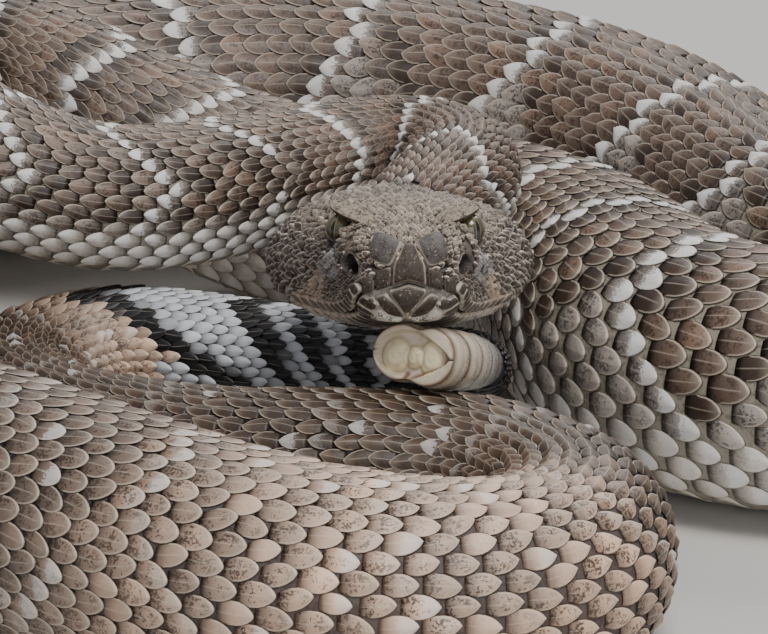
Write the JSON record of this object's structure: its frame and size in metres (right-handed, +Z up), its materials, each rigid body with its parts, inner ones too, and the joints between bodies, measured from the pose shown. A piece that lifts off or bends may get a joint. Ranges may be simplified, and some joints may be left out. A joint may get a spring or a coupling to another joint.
{
  "type": "western diamondback rattlesnake",
  "caption": "Life-size western diamondback rattlesnake resting in a loose coil, head raised over its upright rattle.",
  "frame": {"origin": "centre of the pile's bounding box, on the ground it rests on", "axes": "+Z up, -Y the way the snout points, +X to the snake's own left"},
  "size_m": [0.2653, 0.2706, 0.0639],
  "materials": {
    "skin": "dry keeled scales in tan with dark brown diamonds and pale borders",
    "tail_skin": "dry keeled scales in black and bluish white bands",
    "eye": "clear wet cover over a speckled iris with an upright slit pupil",
    "rattle": "satin horn, cream at the end and grey near the tail"
  },
  "bodies": {
    "root": {"head": "skin", "eye_left": "eye", "eye_right": "eye", "neck": "skin", "body_1": "skin", "body_2": "skin", "body_3": "skin", "body_4": "skin", "body_5": "skin", "body_6": "skin", "body_7": "skin", "body_8": "skin", "body_9": "skin", "body_10": "skin", "body_11": "skin", "body_12": "skin", "tail": "tail_skin", "rattle": "rattle"}
  },
  "joints": []
}
